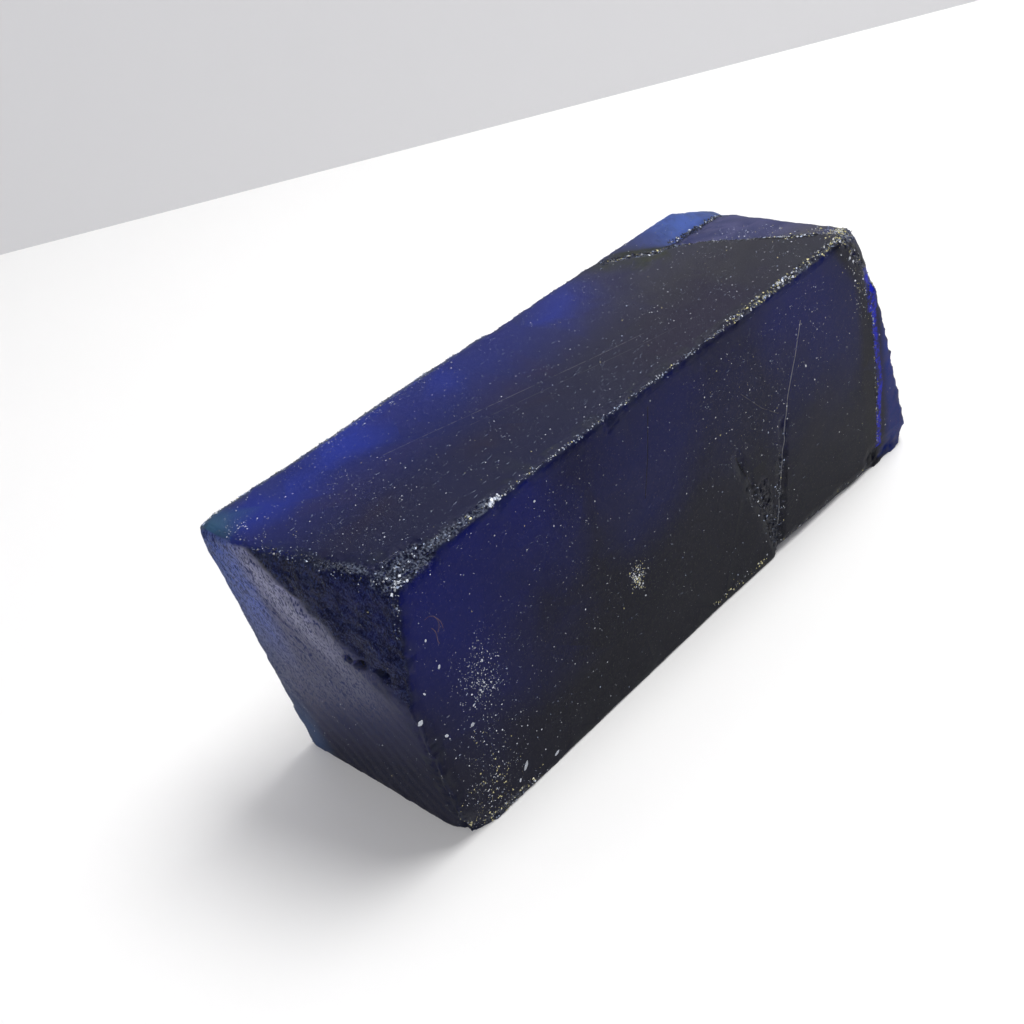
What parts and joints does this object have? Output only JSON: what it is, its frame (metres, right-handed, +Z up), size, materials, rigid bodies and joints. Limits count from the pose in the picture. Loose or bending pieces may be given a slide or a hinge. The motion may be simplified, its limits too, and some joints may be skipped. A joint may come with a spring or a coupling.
{
  "type": "rough sapphire",
  "caption": "Long sawn and broken block of rough blue sapphire, lying on its flat underside.",
  "frame": {"origin": "middle of the bounding box, on the flat underside that the stone lies on", "axes": "+X along the stone from its near broken end to its bevelled far end, +Y from the tall sawn front face to the back, +Z up"},
  "size_m": [0.1006, 0.03, 0.0403],
  "materials": {
    "sapphire": "matte, dusty, translucent at thin edges"
  },
  "bodies": {
    "root": {"rough_sapphire": "sapphire"}
  },
  "joints": []
}
